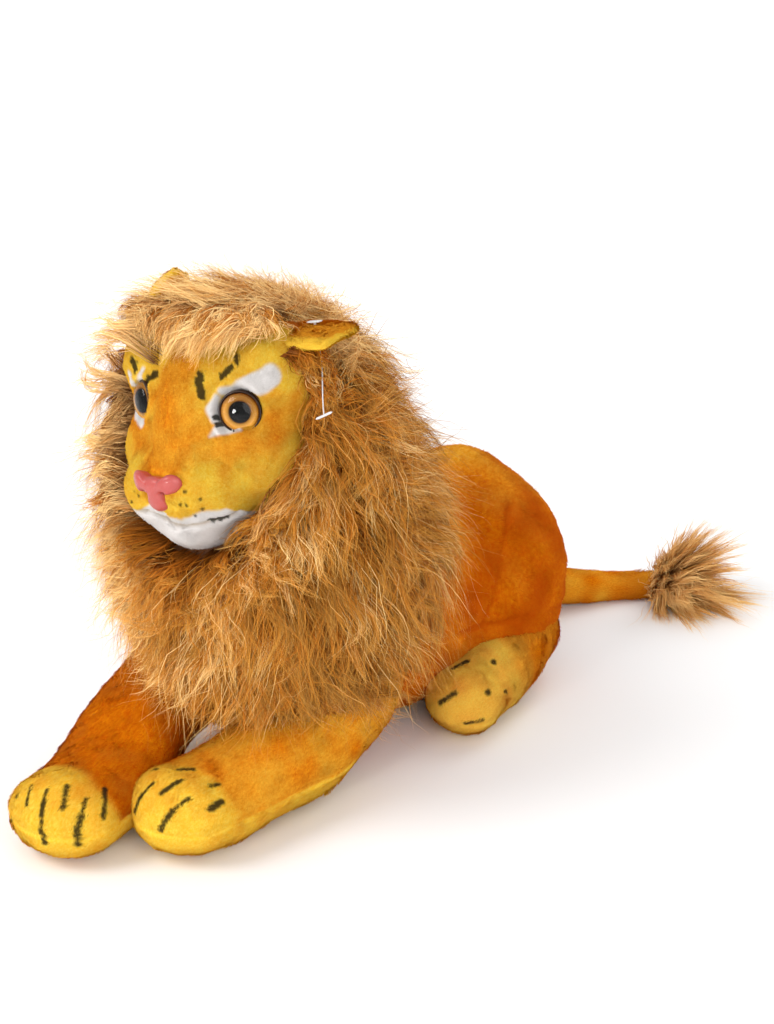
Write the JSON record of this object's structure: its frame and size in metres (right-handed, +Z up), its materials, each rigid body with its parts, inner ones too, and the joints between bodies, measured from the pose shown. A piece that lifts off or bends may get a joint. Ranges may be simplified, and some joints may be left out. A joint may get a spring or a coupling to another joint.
{
  "type": "plush lion",
  "caption": "Lying plush lion with a long pile mane, safety eyes, moulded nose, ears that fold and a tufted tail that swings.",
  "frame": {"origin": "middle of the flat patch of the belly that meets the floor", "axes": "+Z up, +Y from the head towards the tail, +X towards the lion's own left side"},
  "size_m": [0.2037, 0.443, 0.2469],
  "materials": {
    "rust_plush": "short rust orange plush",
    "amber_plush": "short amber plush, airbrushed",
    "yellow_plush": "short yellow plush",
    "white_plush": "short white plush",
    "mane_pile": "long wavy golden brown pile",
    "fibre_filling": "loose white fibre",
    "clear_lens": "clear polished dome",
    "eye_plastic": "dark brown gloss with an amber disc",
    "washer_plastic": "natural white plastic",
    "nose_plastic": "coral pink gloss",
    "clear_nylon": "translucent white nylon"
  },
  "bodies": {
    "lion": {"torso_left_cover": "rust_plush", "torso_right_cover": "rust_plush", "belly_cover": "rust_plush", "torso_filling": "fibre_filling", "haunch_cover_left": "rust_plush", "haunch_cover_right": "rust_plush", "haunch_filling_left": "fibre_filling", "haunch_filling_right": "fibre_filling", "hind_foot_cover_left": "amber_plush", "hind_foot_cover_right": "amber_plush", "hind_sole_left": "yellow_plush", "hind_sole_right": "yellow_plush", "hind_foot_filling_left": "fibre_filling", "hind_foot_filling_right": "fibre_filling", "front_leg_cover_left": "amber_plush", "front_leg_cover_right": "amber_plush", "front_sole_left": "yellow_plush", "front_sole_right": "yellow_plush", "front_leg_filling_left": "fibre_filling", "front_leg_filling_right": "fibre_filling", "face_cover": "amber_plush", "chin_cover": "white_plush", "head_back_cover": "rust_plush", "head_filling": "fibre_filling", "eye_lens_left": "clear_lens", "eye_lens_right": "clear_lens", "eye_base_left": "eye_plastic", "eye_base_right": "eye_plastic", "eye_washer_left": "washer_plastic", "eye_washer_right": "washer_plastic", "nose": "nose_plastic", "nose_washer": "washer_plastic", "mane_crown": "mane_pile", "mane_left": "mane_pile", "mane_right": "mane_pile", "mane_bib": "mane_pile", "mane_back": "mane_pile"},
    "tail": {"tail_cover": "rust_plush", "tail_filling": "fibre_filling", "tail_tuft": "mane_pile"},
    "ear_left": {"ear_left_back": "rust_plush", "ear_left_lining": "yellow_plush", "tag_fastener": "clear_nylon"},
    "ear_right": {"ear_right_back": "rust_plush", "ear_right_lining": "yellow_plush"}
  },
  "joints": [
    {"name": "tail_swing", "type": "hinge", "parent": "lion", "child": "tail", "pos_m": [0, 0.12485, 0.0225], "axis": [0, 0, 1], "range_deg": [-40, 60]},
    {"name": "ear_left_fold", "type": "hinge", "parent": "lion", "child": "ear_left", "pos_m": [0.02858, -0.09649, 0.22938], "axis": [-0.0523, -0.9986, 0], "range_deg": [0, 75], "stiffness_Nm_per_rad": 0.05},
    {"name": "ear_right_fold", "type": "hinge", "parent": "lion", "child": "ear_right", "pos_m": [-0.0453, -0.09262, 0.20923], "axis": [-0.0523, -0.9986, 0], "range_deg": [0, 80], "stiffness_Nm_per_rad": 0.05}
  ]
}
